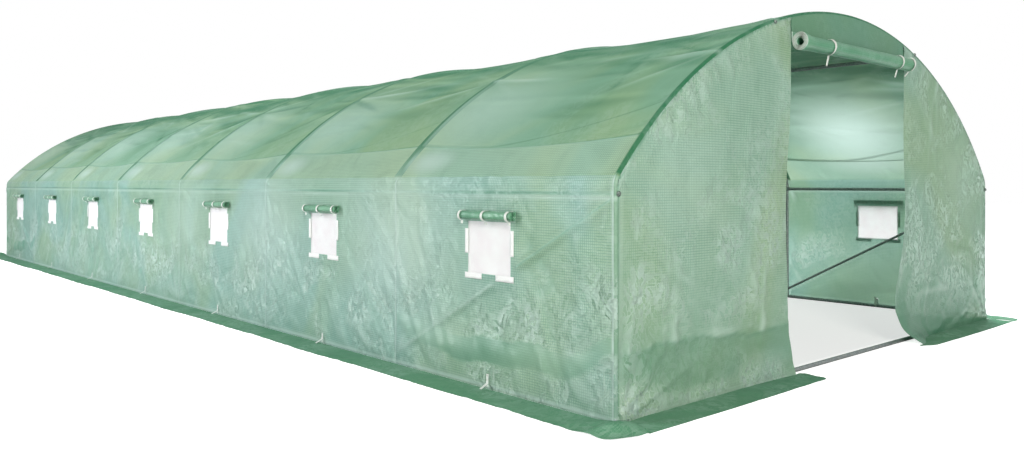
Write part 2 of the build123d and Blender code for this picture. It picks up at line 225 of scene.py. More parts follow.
def surface(name, grids, materials, flip=False, thickness=0.0):
    """An object of one or more grids: points, their flat places in metres as UV, and their marks.

    A grid may end with its holes and each point's distance from a crease. The material draws the
    crease where that distance is zero."""
    points, flats, marks, lines, faces, first = [], [], [], [], [], 0
    for place, flat, mark, *more in grids:
        rows, columns = place.shape[:2]
        holes, line = more or (None, np.ones((rows, columns)))
        corner = first + np.arange(rows * columns).reshape(rows, columns)
        quads = np.stack([corner[:-1, :-1], corner[1:, :-1], corner[1:, 1:], corner[:-1, 1:]], -1)
        faces.append(quads.reshape(-1, 4) if holes is None else quads[~holes])
        points.append(place.reshape(-1, 3))
        flats.append(flat.reshape(-1, 2))
        marks.append(mark.reshape(-1, 4))
        lines.append(line.ravel())
        first += rows * columns
    used, faces = np.unique(np.concatenate(faces), return_inverse=True)
    faces = faces.reshape(-1, 4)[:, ::-1] if flip else faces.reshape(-1, 4)
    mesh = bpy.data.meshes.new(name)
    mesh.from_pydata(np.concatenate(points)[used], [], faces)
    layer = mesh.uv_layers.new(name="flat")
    layer.data.foreach_set("uv", np.concatenate(flats)[used][faces.ravel()].ravel())
    layer = mesh.attributes.new("marks", "FLOAT_COLOR", "POINT")
    layer.data.foreach_set("color", np.concatenate(marks)[used].ravel())
    layer = mesh.attributes.new("from_line", "FLOAT", "POINT")
    layer.data.foreach_set("value", np.concatenate(lines)[used])
    mesh.shade_smooth()
    for material in materials:
        mesh.materials.append(material)
    piece = bpy.data.objects.new(name, mesh)
    bpy.context.collection.objects.link(piece)
    if thickness:
        solid = piece.modifiers.new("thickness", "SOLIDIFY")
        solid.thickness, solid.offset = thickness, 0
    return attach(piece, "root")


def marked(shape, double_and_tube_shade=0.0, pale=0.0, crumpled=0.0, painted_shade=0.0):
    """The marks of a grid's points, from 0 to 1: where the film is sewn double, with the painted
    shade where it lies on a tube; where it is painted pale, mostly painted light and highlights;
    how crumpled it is; and the painted shade, how dark it is and how little light comes through it."""
    return np.stack([np.broadcast_to(mark, shape) for mark in (double_and_tube_shade, pale, crumpled, painted_shade)], -1)


def most(*marks):
    """The highest of several marks at each point."""
    return functools.reduce(np.maximum, marks)


# Woven film: a 12 mm grid of tape seen through the coating, over foil-like crinkles with painted
# glints on their facets. Light shows through it, and soft patches of a warm and a bluer hue are
# painted for the light that comes through.
def woven_film(name, cool, warm, deep, through, crinkle, dulling, shine=0.5):
    """A film material: two hues of painted light in soft patches, a deep tone under the marks
    (painted shade, and the film's own where it is sewn double), painted glints, and its glow.
    """
    film = new_material(name)
    flat = add(film, "ShaderNodeUVMap", uv_map="flat")
    mark = add(film, "ShaderNodeAttribute", attribute_name="marks").outputs
    part = add(film, "ShaderNodeSeparateColor", {"Color": mark["Color"]}).outputs
    # Painted light: two hues in soft random patches stand for the light that comes through the
    # film.
    patches = add(film, "ShaderNodeTexNoise", {"Vector": flat, "Scale": 0.9, "Distortion": 0.8},
                  noise_dimensions="2D")
    parted = add(film, "ShaderNodeMapRange", {0: patches, 1: 0.36, 2: 0.64})
    hue = add(film, "ShaderNodeValToRGB", {"Fac": parted}, [(0.0, cool), (1.0, warm)])
    mottle = add(film, "ShaderNodeTexNoise",
                 {"Vector": flat, "Scale": 5.0, "Detail": 3.0, "Distortion": 0.8},
                 noise_dimensions="2D")
    murk = add(film, "ShaderNodeMapRange", {0: mottle, 1: 0.38, 2: 0.68, 4: 0.14})
    lines = [add(film, "ShaderNodeTexWave", {"Vector": flat, "Scale": np.pi / (10 * 0.012)},
                 wave_type="BANDS", bands_direction=axis).outputs["Fac"] for axis in "XY"]
    grid = add(film, "ShaderNodeMath", {0: lines[0], 1: lines[1]}, operation="MAXIMUM")
    tape = add(film, "ShaderNodeMapRange", {0: grid, 1: 0.72, 2: 0.96})
    woven = add(film, "ShaderNodeMath", {0: tape, 1: 0.50, 2: murk}, operation="MULTIPLY_ADD")
    # Painted shade: the deep tone along the crease lines, over the tubes and wherever the marks
    # paint shade; where the film is sewn double it is darker of its own.
    line = add(film, "ShaderNodeAttribute", attribute_name="from_line").outputs["Fac"]
    off_line = add(film, "ShaderNodeMath", {0: line}, operation="ABSOLUTE")
    crease_shade = add(film, "ShaderNodeMapRange", {0: off_line, 1: 0.001, 2: 0.011, 3: 0.70, 4: 0.0})
    crease_and_tube_shade = add(film, "ShaderNodeMath", {0: crease_shade, 1: part["Red"]}, operation="MAXIMUM")
    under = add(film, "ShaderNodeMath", {0: mark["Alpha"], 1: crease_and_tube_shade}, operation="MAXIMUM")
    tinted = add(film, "ShaderNodeMath", {0: woven, 1: under}, operation="MAXIMUM",
                 use_clamp=True)
    green = add(film, "ShaderNodeMix", {"Factor": tinted, "A": hue, "B": linear(deep)},
                data_type="RGBA").outputs["Result"]

    # Crumpled facets about 22 mm across, each tilted its own way and edged by a raised crease.
    push = add(film, "ShaderNodeTexNoise", {"Vector": flat, "Scale": 6.0, "Detail": 3.0},
               noise_dimensions="2D").outputs["Color"]
    pushed = add(film, "ShaderNodeVectorMath", {0: push, 1: (0.14, 0.14, 0.0), 2: flat},
                 operation="MULTIPLY_ADD")
    bent = add(film, "ShaderNodeMapping",
               {"Vector": pushed, "Rotation": (0, 0, 0.9), "Scale": (1.25, 0.8, 1.0)})
    facet = add(film, "ShaderNodeTexVoronoi", {"Vector": bent, "Scale": 46.0},
                voronoi_dimensions="2D").outputs
    border = add(film, "ShaderNodeTexVoronoi", {"Vector": bent, "Scale": 46.0},
                 voronoi_dimensions="2D", feature="DISTANCE_TO_EDGE")
    inner = add(film, "ShaderNodeVectorMath", {0: bent, 1: facet["Position"]},
                operation="SUBTRACT")
    tilt = add(film, "ShaderNodeVectorMath", {0: facet["Color"], 1: (0.5, 0.5, 0.5)},
               operation="SUBTRACT")
    plane = add(film, "ShaderNodeVectorMath", {0: inner, 1: tilt}, operation="DOT_PRODUCT")
    ridges = add(film, "ShaderNodeTexNoise",
                 {"Vector": flat, "Scale": 22.0, "Detail": 3.0, "Roughness": 0.6,
                  "Distortion": 1.0}, noise_dimensions="2D", noise_type="RIDGED_MULTIFRACTAL")
    veins = add(film, "ShaderNodeMapRange", {0: border, 2: 0.12, 3: 0.8, 4: 0.0})
    edged = add(film, "ShaderNodeMath", {0: veins, 1: 0.0012, 2: plane.outputs["Value"]},
                operation="MULTIPLY_ADD")
    height = add(film, "ShaderNodeMath", {0: ridges, 1: 0.005, 2: edged},
                 operation="MULTIPLY_ADD")
    spots = add(film, "ShaderNodeTexNoise",
                {"Vector": flat, "Scale": 2.4, "Detail": 4.0, "Distortion": 0.8},
                noise_dimensions="2D")
    spotted = add(film, "ShaderNodeMapRange", {0: spots, 1: 0.42, 2: 0.58, 3: 0.18})
    foil = add(film, "ShaderNodeMath", {0: spotted, 1: part["Blue"]}, operation="MULTIPLY")
    rumple = add(film, "ShaderNodeMath", {0: height, 1: foil}, operation="MULTIPLY")
    raised = add(film, "ShaderNodeMath", {0: tape, 1: 0.0005, 2: rumple},
                 operation="MULTIPLY_ADD")
    bump = add(film, "ShaderNodeBump", {"Height": raised, "Strength": crinkle, "Distance": 1.0})

    # Painted glints: where it is crumpled the film is painted pale, on some facets and most along
    # the creases, and the painted light of the marks is added.
    sheen = add(film, "ShaderNodeMapRange", {0: facet["Color"], 1: 0.40, 2: 0.70, 4: 0.75})
    bright = add(film, "ShaderNodeMath", {0: sheen, 1: veins}, operation="MAXIMUM")
    glint = add(film, "ShaderNodeMath", {0: bright, 1: 0.80, 2: 0.12}, operation="MULTIPLY_ADD")
    lighter = add(film, "ShaderNodeMath", {0: glint, 1: foil}, operation="MULTIPLY")
    pale = add(film, "ShaderNodeMath", {0: lighter, 1: part["Green"]}, operation="MAXIMUM",
               use_clamp=True)
    lit_and_whitened = add(film, "ShaderNodeMix", {"Factor": pale, "A": green, "B": linear("#CBE2DA")},
               data_type="RGBA").outputs["Result"]

    # The face, the light through it, less where it is double and where shade is painted, and the
    # pinholes of the weave.
    outside = add(film, "ShaderNodeBsdfPrincipled",
                  {"Base Color": lit_and_whitened, "Normal": bump, "Roughness": dulling,
                   "Specular IOR Level": shine})
    inside = add(film, "ShaderNodeBsdfTranslucent", {"Color": lit_and_whitened, "Normal": bump})
    thin = add(film, "ShaderNodeMapRange", {0: under, 3: through, 4: 0.08})
    lit = add(film, "ShaderNodeMixShader", {0: thin, 1: outside, 2: inside})
    clear = add(film, "ShaderNodeBsdfTransparent", {"Color": linear("#DDF2E4")})
    see = add(film, "ShaderNodeMapRange", {0: tape, 3: 0.05, 4: 0.02})
    whole = add(film, "ShaderNodeMixShader", {0: see, 1: lit, 2: clear})
    add(film, "ShaderNodeOutputMaterial", {"Surface": whole})
    return film


# Painted light: the roof and the walls above the shoulder take a copy of the film painted for the
# light on them, warmer, deeper where shade is painted and more see-through; the walls below take
# the plain colours of cover_film.
sunlit_film = woven_film("woven_green_film_in_sun", "#A3CCB2", "#B3D0A8", "#1D6342", 0.46, 0.8,
                         0.5, shine=0.05)
cover_film = woven_film("woven_green_film", "#9DC6BC", "#A4C5A9", "#31745A", 0.40, 0.75, 0.34)

# Places along the film: even across each bay, close together over its hoops and at the windows'
# sides, and round the outside of the end hoops.
along = np.concatenate([
    strips(sorted([middle + edge for middle in middles for edge in (-0.81, -0.17, 0.17, 0.81)]),
           0.019),
    (hoops[:, None] + np.array([-44, -36, -26, -16, -8, 0, 8, 16, 26, 36, 44]) / 1000).ravel(),
    np.array([-1, 1]).repeat(4) * (end_hoop + wrap * np.array([0.25, 0.5, 0.75, 1.0] * 2)),
])
along = np.unique(along[np.abs(along) <= end_hoop + wrap + 1e-6].round(6))
from_hoop = np.abs(along[:, None] - hoops).min(axis=1)
from_middle = np.abs(along[:, None] - middles).min(axis=1)
past_hoop = np.abs(along) > end_hoop
# Painted shade: a dark band over each hoop, narrower at the end hoops; painted highlight: a pale
# line along each leg.
band = np.where(np.abs(along) > end_hoop - 0.1, 0.012, 0.044)  # half the width of the dark band
on_tube = np.where(past_hoop, 1, unit((band - from_hoop) / 0.008))
on_edge = near(from_hoop, 0, 0.007) * ~past_hoop
through_bay = in_bay(along)
slack = 4 * through_bay * (1 - through_bay)
bay_number = np.clip(((along + end_hoop) / bay).astype(int), 0, BAYS - 1)
in_last_bay = (bay_number == 0) | (bay_number == BAYS - 1)
WINDOW_SILL, WINDOW_HEAD = 0.565, 0.825
WINDOW_HALF = 0.170  # of its width
PURLIN = ground - 0.970  # the shoulder purlin's place, along the film from the crown
seam = SEAM_ANGLE * (ARCH + FILM) + 0.028 * slack * (1 + 0.4 * np.sin(3.1 * bay_number + 1))
seam_sag = 0.012 * slack * (1 + 0.25 * np.sin(2.3 * bay_number + 0.6))


def wall_lift(y, up, rng):
    """How far a wall's film stands off the tubes' line: slack, fans of folds, scattered folds.

    It stays on the legs, and flat round the windows, where the nets are sewn in."""
    lift = np.zeros(y.shape)
    for low, high, angle in ((-6, 0, 58), (0, 6, 122)):
        lift += scattered(y, up, rng, 260, (low, 0.02), (high, 1.25), angle, 24, (0.05, 0.26),
                          (0.014, 0.032), (0.0020, 0.0060))
        lift += scattered(y, up, rng, 26, (low, 0.10), (high, 0.50), angle, 8, (0.20, 0.42),
                          (0.016, 0.030), (0.0040, 0.0090))
    lift += scattered(y, up, rng, 160, (-6, 0.05), (6, 0.6), 30, 30, (0.06, 0.2),
                      (0.016, 0.036), (0.0025, 0.0060))
    for hoop in hoops:
        lift += fan(y, up, rng, (hoop, 0.0), 9, 20, 160, (0.10, 0.24), (0.012, 0.026),
                    (0.004, 0.010))
        lift += fan(y, up, rng, (hoop, 1.0), 7, -150, -30, (0.08, 0.20), (0.014, 0.026),
                    (0.003, 0.007))
    lift += 0.010 * near(up, swag(y), 0.055) * (slack * in_last_bay)[:, None]
    lift -= 0.006 * slack[:, None] * near(up, 0.55, 0.3)
    to_window = np.maximum(from_middle[:, None] - 0.19, np.abs(up - 0.70) - 0.15)
    lift *= unit(to_window / 0.08) * (1 - near(from_hoop, 0, 0.014))[:, None]
    lift *= 1 - near(up, 0.975, 0.03) - near(up, 0.0, 0.045)
    return np.clip(lift, -0.012, 0.03)


def swag(y):
    """Height of the smooth fold that hangs across the foot of each bay, lifted at its hoops."""
    lifted = near(in_bay(y), 1, 0.22) + near(in_bay(y), 0, 0.08)
    waver = 0.018 * np.sin(4.3 * y) + 0.010 * np.sin(17 * y)
    return 0.185 + 0.11 * lifted * (1 + 0.5 * np.sin(1.9 * y)) + waver


for side, hand in SIDES:
    # Rows down the wall: from the seam to the shoulder bend, then past the purlin and windows.
    rng = np.random.default_rng(11 + side)
    upper = np.linspace(0, 1, 13)
    upper = seam[:, None] + upper * (bend_start - seam[:, None])
    lower = strips([bend_start, bend_end, PURLIN - 0.012, PURLIN - 0.006, PURLIN, PURLIN + 0.006,
                    PURLIN + 0.012, PURLIN + 0.020, ground - WINDOW_HEAD,
                    ground - WINDOW_SILL, ground - 0.03, ground], 0.018)[1:]
    arc = np.concatenate([upper, np.broadcast_to(lower, (len(along), len(lower)))], axis=1)
    y, up = np.broadcast_arrays(along[:, None], ground - arc)
    lift = wall_lift(y, up, rng)
    lift[:, :13] *= np.linspace(0, 1, 13)
    lift -= seam_sag[:, None] * unit((PURLIN - 0.14 - arc) / 0.25)

    # The brace of each end bay shows as a crease: painted shade where it presses, then a painted
    # highlight along its lower part.
    from_end = end_hoop - np.abs(y)
    brace_up = 0.95 - 0.89 * from_end / bay
    to_brace = (up - brace_up) * np.cos(np.arctan(0.88 / bay))
    in_end_bay = (from_end > 0.008) & (from_end < bay - 0.02)
    upper_half = unit((0.45 - from_end / bay) / 0.1)
    window = (from_middle[:, None] < 0.20) & (np.abs(up - 0.695) < 0.18)
    crease = near(to_brace, 0, 0.009) * in_end_bay * ~window
    on_brace = near(to_brace, 0, 0.020) * in_end_bay * ~window
    lift += (np.maximum(lift, 0.007) - lift) * on_brace
    line = to_brace + ~(in_end_bay & (upper_half > 0.5) & ~window)

    # Painted shade where it lies on a hoop, on the purlin and round an end leg; darker where it is
    # sewn double.
    on_arch = unit((bend_start + 0.03 - arc) / 0.02)
    on_leg = 1 - on_arch
    double_and_tube_shade = most(0.95 * on_tube[:, None] * on_arch,
                   near(arc, PURLIN, 0.009) * (0.55 + 0.45 * slack[:, None]),
                   0.5 * past_hoop[:, None] * on_leg,
                   0.85 * near(arc, seam[:, None], 0.011))

    # Smooth, and painted in shade further down: the swag, the fold that slants past an end bay, and
    # on the right under the brace.
    fold_half = 0.035 + 0.035 * slack[:, None]
    smooth = unit((fold_half - np.abs(up - swag(y))) / 0.020 + 0.5)
    smooth = smooth * np.where(in_last_bay, 1, 0.12)[:, None]
    if side > 0:
        under_brace = unit(0.5 - to_brace / 0.03) * in_end_bay * (up > 0.03)
        smooth = np.where(in_last_bay[:, None], under_brace, smooth)
    past_end_bay = unit((from_end - bay) / bay)
    slanted = near(up - 0.03 - 1.75 * past_end_bay, 0, 0.055) * (past_end_bay > 0)
    smooth = np.maximum(smooth, 0.75 * slanted * unit((0.50 - up) / 0.08))
    above = unit((up - swag(y)) / 0.02)
    crumpled = above * (0.20 + 0.80 * near(up, swag(y) + 0.12, 0.24)) + 0.75 * (1 - above)
    crumpled = crumpled * (1 - smooth) * (1 - 0.75 * on_arch)

    # Painted highlights on the legs, under the purlin, along the lower brace and on the ridges;
    # painted light where the light comes straight through, over the arch between the hoops and by
    # the front legs on the left; pale at the foot's hem and on the patch where the rail tape is
    # sewn.
    if side > 0:
        glow = near(in_bay(y), 0.5, 0.30) * near(up, 1.28, 0.20)
    else:
        glow = near(in_bay(y), 0.87, 0.14) * near(up, 1.16, 0.11)
    ridge = unit((lift - 0.001) / 0.008) * on_leg * (1 - smooth)
    patch = (from_middle[:, None] < 0.014) & (up < 0.075)
    pale = most(0.85 * on_edge[:, None] * on_leg, 0.45 * near(arc, PURLIN + 0.018, 0.007),
                0.75 * glow, 0.25 * on_arch * (1 - on_tube)[:, None],
                0.80 * near(up, 0.016, 0.012), 0.45 * crease * (1 - upper_half),
                0.42 * ridge * (1 - near(to_brace, 0, 0.03) * upper_half), 0.6 * patch)
    if side < 0:
        # Painted light near the legs of the left wall's front half.
        by_leg = near(from_hoop, 0, 0.60) * (np.abs(along) < end_hoop - 0.9)
        by_leg = by_leg * unit(side * along / 1.6)
        pale = most(pale, 0.60 * by_leg[:, None] * near(up, 0.68, 0.42))

    # Painted shade in the smooth folds, in the valleys, over all of the right wall, and in streaks
    # above the shoulder.
    streaks = scattered(y, arc, rng, 160, (-6, 1.55), (6, 2.15), 172, 12, (0.15, 0.5),
                        (0.02, 0.07), (0.06, 0.22))
    fold_shade, wall_shade = (0.78, 0.0) if side < 0 else (0.46, 0.32)
    painted_shade = unit(most(fold_shade * smooth * (0.75 + 0.25 * np.sin(5 * y + 9 * up)), wall_shade,
                    0.55 * unit((-lift - 0.005) / 0.006) * on_leg,
                    on_arch * (0.04 + 0.8 * streaks)))

    in_window = from_middle < WINDOW_HALF + 1e-4
    in_window = in_window[:-1] & in_window[1:] & (np.diff(along) > 0.001)
    mid_up = (up[:-1, :-1] + up[:-1, 1:]) / 2
    holes = in_window[:, None] & (mid_up > WINDOW_SILL) & (mid_up < WINDOW_HEAD)
    sheet = surface(f"{hand}_wall_film", [(
        cover(side * arc, along[:, None], lift), together(y, up),
        marked(arc.shape, double_and_tube_shade, pale, crumpled, painted_shade), holes, line)],
        [cover_film, sunlit_film], flip=side > 0)
    centres = np.empty(3 * len(sheet.data.polygons))
    sheet.data.polygons.foreach_get("center", centres)
    over_shoulder = (centres[2::3] > SHOULDER + 0.02).astype(np.int32)
    sheet.data.polygons.foreach_set("material_index", over_shoulder)
    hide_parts(f"{hand}_wall_sheet")

# The roof's film takes every other place along, but all of those near a hoop.
rows = (from_hoop < 0.06) | (np.arange(len(along)) % 2 == 0)
along, from_hoop, on_tube, slack, bay_number, seam = [
    each[rows] for each in (along, from_hoop, on_tube, slack, bay_number, seam)]
across_roof = strips([-1, -0.7, -0.35, 0, 0.35, 0.7, 1], 0.0098)
arc = across_roof[None, :] * seam[:, None]
y = np.broadcast_to(along[:, None], arc.shape)
rng = np.random.default_rng(5)
angle = np.abs(arc) / (ARCH + FILM)

# It sags between the hoops and between the purlins, most over the crown, and rests on both.
purlin_angle = np.radians(18.5)
between = unit(1 - (angle / purlin_angle) ** 2)
outside = unit(np.sin(np.pi * (angle - purlin_angle) / (SEAM_ANGLE - purlin_angle)))
depth = np.where(angle < purlin_angle, 0.012 + 0.060 * between, 0.012 + 0.024 * outside)
depth = depth * (1 + 0.25 * np.sin(2.3 * bay_number + 0.6))[:, None]
lift = -np.clip(depth, 0, 0.085) * slack[:, None]
creases = scattered(y, arc, rng, 300, (-6, -2.0), (6, 2.0), 0, 16, (0.15, 0.5), (0.018, 0.045),
                    (0.0015, 0.0050))
creases += scattered(y, arc, rng, 120, (-6, -2.0), (6, 2.0), 0, 70, (0.08, 0.25), (0.018, 0.04),
                     (0.0015, 0.0040))
for hoop in hoops:
    for foot in (-1.35, -0.8, 0.8, 1.35):
        for first, last in ((-30, 30), (150, 210)):
            creases += fan(y, arc, rng, (hoop, foot), 5, first, last, (0.2, 0.5), (0.018, 0.035),
                           (-0.010, 0.010))
creases *= unit((1 - np.abs(across_roof)) / 0.03)
lift = (lift + creases) * (1 - near(from_hoop, 0, 0.016))[:, None]
deepest = 0.0125 + 0.05 * (1 - near(angle, purlin_angle, 0.012))
lift = np.maximum(lift, -deepest - 0.2 * (1 - near(angle, purlin_angle, 0.06)))

# Painted shade over the hoops and faintly over the purlins; darker along the seams, where it is
# sewn double; painted shade along the pleat that climbs from the middle of each bay's seam to the
# nearer hoop.
double_and_tube_shade = most(0.95 * on_tube[:, None],
               0.3 * near(angle, purlin_angle, 0.005) * (1 - slack[:, None] / 2),
               0.90 * near(np.abs(arc), seam[:, None], 0.011))
climb = unit((0.62 - in_bay(y)) / 0.62)
from_pleat = np.abs(arc) - (seam[:, None] - 0.012 - 0.23 * climb ** 1.3)
from_pleat = from_pleat * np.where(bay_number == 0, 0.45, 0.9)[:, None]

# Painted shade over the crown, in a patch in each bay, in the creases and in long streaks. Painted
# light low in each bay, strongest in the front bay on the right where it lifts the shade, and
# painted highlights on the ridges.
streaks = scattered(y, np.abs(arc), rng, 420, (-6, 0.0), (6, 1.75), 176, 9, (0.2, 0.7),
                    (0.020, 0.07), (0.04, 0.17))
painted_shade = 0.95 * unit(1.44 - angle / np.radians(38)) ** 0.8
painted_shade = np.clip(painted_shade + 0.22 * near(in_bay(y), 0.35, 0.2) * near(angle, 0.75, 0.15) + streaks
              + 0.3 * unit((-creases - 0.001) / 0.006), 0, 0.95)
glow = near(in_bay(y), np.where(arc < 0, 0.85, 0.5), 0.30) * near(angle, 0.68, 0.19)
bright = np.where(bay_number == 0, 0.95, 0.35)[:, None]
painted_shade = painted_shade * (1 - 0.8 * bright * glow * (arc > 0))
pale = glow * np.where(arc < 0, 0.35, bright) + 0.25 * unit((creases - 0.001) / 0.008)
roof_film = surface("roof_film", [(cover(arc, along[:, None], lift), together(y, arc),
                                   marked(arc.shape, double_and_tube_shade, pale, 0.12, painted_shade), None,
                                   from_pleat)], [sunlit_film], flip=True)
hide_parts("left_roof_sheet", "crown_roof_sheet", "right_roof_sheet")


# ---- Film of the two ends -----------------------------------------------------------------------
# The same film, cut flat to the arch and puckered where it is sewn round it. A hemmed slit on each
# side of the doorway lets the middle roll up, so the edges beside it hang free and curl.

DOOR_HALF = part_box("front_door_roll")[1].x
DOOR_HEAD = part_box("front_head_sheet")[0].z
end_face = end_hoop + FILM
# Painted light: the ends take their own copy of the film, warmer and less saturated, painted for
# the sheen of the light falling on them.
end_cloth = woven_film("woven_green_film_of_ends_lit", "#A7C7B6", "#ABC5A5", "#2C6E50", 0.40, 0.75,
                       0.34)


def outline(across):
    """Height of the end hoop's centre line over a place across the tunnel."""
    arch = arch_z + np.sqrt(np.maximum(ARCH ** 2 - across ** 2, 0))
    corner = bend_z + np.sqrt(np.maximum(BEND ** 2 - np.maximum(across - bend_x, 0) ** 2, 0))
    return np.where(across < ARCH * np.sin(bend_angle), arch, corner)


def splay(across, side):
    """How far an end film's foot is kicked out from the frame, most at the doorway's right."""
    return (0.020 if side < 0 else 0.12) * near(across, DOOR_HALF, 0.20) + 0.004


def hang(across, up, side):
    """How far the free edge beside a doorway swings from it, less and less towards the leg."""
    free = unit((leg_x - across) / (leg_x - DOOR_HALF)) ** 2
    if side < 0:
        return free * 0.045 * unit((DOOR_HEAD - up) / 0.7) * unit(up / 0.22)
    return free * (0.02 * unit((DOOR_HEAD - up) / 0.5) - 0.14 * near(up, 0.17, 0.42)
                   * np.sin(np.pi / 2 * unit(up / 0.12)))


def puckers(wide, up, inset, side, rng):
    """How far the film beside a doorway bulges: its ripples alone, and with its foot kicked out."""
    ripples = scattered(wide, up, rng, 70, (0.65, 0.1), (2.0, 1.9), 95, 22, (0.10, 0.35),
                        (0.014, 0.035), (0.0015, 0.0045))
    ripples += scattered(wide, up, rng, 60, (0.65, 0.02), (2.0, 0.6), 20, 35, (0.05, 0.18),
                         (0.014, 0.03), (0.002, 0.006))
    count = 40
    spots = rng.uniform(0.68, 1.93, count)
    lean = np.arctan2(outline(spots) - arch_z, spots)
    reach = rng.uniform(0.03, 0.10, count)
    centres = np.stack([spots - reach * np.cos(lean), outline(spots) - reach * np.sin(lean)], 1)
    ripples += folds(wide, up, centres, lean, reach, rng.uniform(0.010, 0.018, count),
                     rng.uniform(0.002, 0.005, count))
    ripples += fan(wide, up, rng, (leg_x, 0.0), 7, 100, 165, (0.12, 0.3), (0.014, 0.03),
                   (0.004, 0.009))
    ripples += fan(wide, up, rng, (leg_x, 1.0), 6, 120, 250, (0.10, 0.25), (0.014, 0.03),
                   (0.002, 0.005))
    ripples += 0.006 * near(up, 0.30, 0.03) * near(wide, 1.2, 0.5)
    foot = unit(1 - up / 0.30) ** 1.8
    edge = 0.008 * near(wide, DOOR_HALF, 0.05) * np.sin(5.5 * up + rng.uniform(0, 6))
    return ripples, (ripples + foot * splay(wide, side) + edge) * unit(inset / 0.02)


def painted_light_shade_and_crumple(wide, up, inset, ripples, side):
    """How pale, crumpled and dark the film beside a doorway is: pale mostly with painted light,
    dark with painted shade.
    """
    toward_leg = unit((leg_x - wide) / (leg_x - DOOR_HALF))
    foot_top = 0.28 + 0.020 * np.sin(5 * wide) + 0.006 * np.sin(23 * wide)
    if side > 0:
        foot_top = 0.02 + 0.17 * toward_leg
    above = unit((up - foot_top) / 0.03 + 0.5)
    kicked = (1 - above) * (side > 0)

    # Crumpled most at knee height, along the arch, and where the foot is trodden.
    rumpled = 0.25 + 0.75 * unit((up - foot_top) / 0.22)
    crumpled = rumpled * (0.38 + 0.44 * near(up, 0.60, 0.38)) + 0.25 * near(inset, 0.05, 0.10)
    torn = near(up, 0.05, 0.09) * (near(wide, 1.88, 0.16) + near(wide, 0.90, 0.20))
    torn = unit(torn + 0.8 * near(up, 0.03, 0.04) * near(wide, 1.3, 0.4))
    crumpled = (crumpled + torn) * (1 - kicked)

    # Painted shade: darker down to the foot, along the arch, on the right and its kicked-out foot,
    # and in each ripple's valley.
    lower = unit((0.85 - up) / 0.60)
    painted_shade = 0.02 + 0.16 * (1 - above) + 0.22 * near(inset, 0, 0.22) + 0.52 * lower ** 1.5
    painted_shade = painted_shade + 0.22 * near(up, foot_top, 0.010) + 0.22 * (side > 0)
    painted_shade = most(np.clip(painted_shade, 0, 0.8) * (1 - 0.7 * torn), 0.85 * kicked,
               0.45 * unit((-ripples - 0.001) / 0.006) * above)

    # Painted highlights along the leg and on the ripples, painted light in a soft patch at chest
    # height, and pale at the hem.
    leg_line = leg_x - (0.020 if side < 0 else 0.080)
    pale = most(0.60 * near(wide, leg_line, 0.008) * (up < bend_z),
                0.26 * near(wide, 1.55, 0.35) * near(up, 1.05, 0.35),
                0.42 * unit((ripples - 0.001) / 0.007) * above,
                0.45 * near(up, 0.012, 0.010) * (side < 0))
    return pale * (1 - kicked), crumpled, painted_shade


def end_film(where, hand, end, side, low, rng):
    """The film beside a doorway, or the film over it where the low edge is at the doorway's head.

    Columns run up from the low edge to the hoop. The bulge is towards the outside of the end."""
    over = low > 1
    first, last = (-DOOR_HALF, DOOR_HALF) if over else (DOOR_HALF, leg_x)
    x = strips([first, last], 0.018) if over else strips(
        [first, first + 0.03, last - 0.088, last - 0.072, last - 0.028, last - 0.012, last], 0.017)
    top = outline(np.abs(x))[:, None]
    up = low + np.linspace(0, 1, 15 if over else 100) * (top - low)
    wide = np.broadcast_to(x[:, None], up.shape)
    edge = np.hypot(wide, up - arch_z)
    inset = np.where(up > bend_z, ARCH - edge, leg_x - np.abs(wide))
    if over:
        bulge = scattered(wide, up, rng, 24, (-0.6, 1.83), (0.6, 1.97), 80, 25, (0.03, 0.09),
                          (0.012, 0.02), (0.001, 0.003))
        bulge = np.clip(bulge, -0.004, 0.0005) * unit(inset / 0.03)
        hem = near(up, DOOR_HEAD + 0.012, 0.012)
        # Over the doorway the film is painted dark in shade.
        pale, crumpled, painted_shade = 0.0, 0.06, 0.82
    else:
        ripples, bulge = puckers(wide, up, inset, side, rng)
        wide = wide + hang(wide, up, side)
        hem = near(wide, DOOR_HALF + 0.01, 0.012)
        pale, crumpled, painted_shade = painted_light_shade_and_crumple(wide, up, inset, ripples, side)
    points = together(side * wide, end * (end_face + np.maximum(bulge, -0.010)), up)
    flat = together(wide + 3 * side, up + 5 * end)
    # Painted shade where the film lies on the end hoop, and darker at the sewn hem.
    double_and_tube_shade = np.maximum(0.95 * near(inset, 0, 0.016), 0.55 * hem)
    piece = surface(f"{where}_{hand}_film",
                    [(points, flat, marked(up.shape, double_and_tube_shade, pale, crumpled, painted_shade))],
                    [end_cloth], flip=side * end > 0)
    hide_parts(f"{where}_{hand}_sheet")


for end, where in ENDS:
    for side, hand in reversed(SIDES):
        end_film(where, hand, end, side, 0.001, np.random.default_rng(40 + 2 * end + side))
    end_film(where, "head", end, 1, DOOR_HEAD, np.random.default_rng(60 + end))


# ---- Skirts -------------------------------------------------------------------------------------
# The film carried on past the frame and left loose on the ground, to be buried or weighted. It
# lies in low waves, and bunches up where the side and end skirts meet at a corner.

